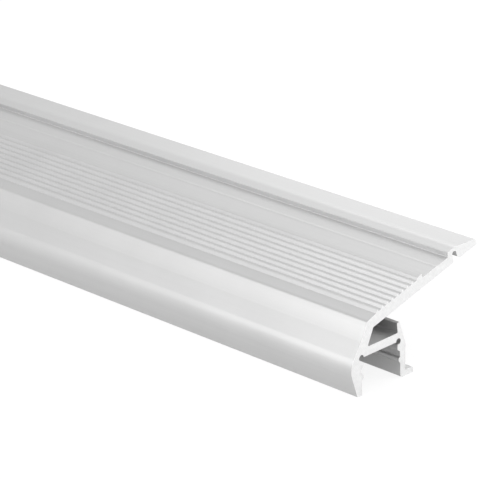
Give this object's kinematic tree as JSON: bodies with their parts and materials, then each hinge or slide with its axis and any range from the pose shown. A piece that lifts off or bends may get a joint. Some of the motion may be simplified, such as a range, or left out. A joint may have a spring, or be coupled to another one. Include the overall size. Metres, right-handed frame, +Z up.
{
  "type": "led stair profile",
  "caption": "Extruded aluminium stair nosing: ridged tread plate with a rear flange, a sloped front apron and lip, and a channel under it for a light strip.",
  "frame": {"origin": "centre of the floor footprint, halfway along the length, at floor level", "axes": "+X along the length, +Y towards the tread plate's rear edge, away from the nose, +Z up"},
  "size_m": [1, 0.05, 0.0312],
  "materials": {
    "anodised_aluminium": "satin anodised"
  },
  "bodies": {
    "root": {"stair_profile": "anodised_aluminium"}
  },
  "joints": []
}
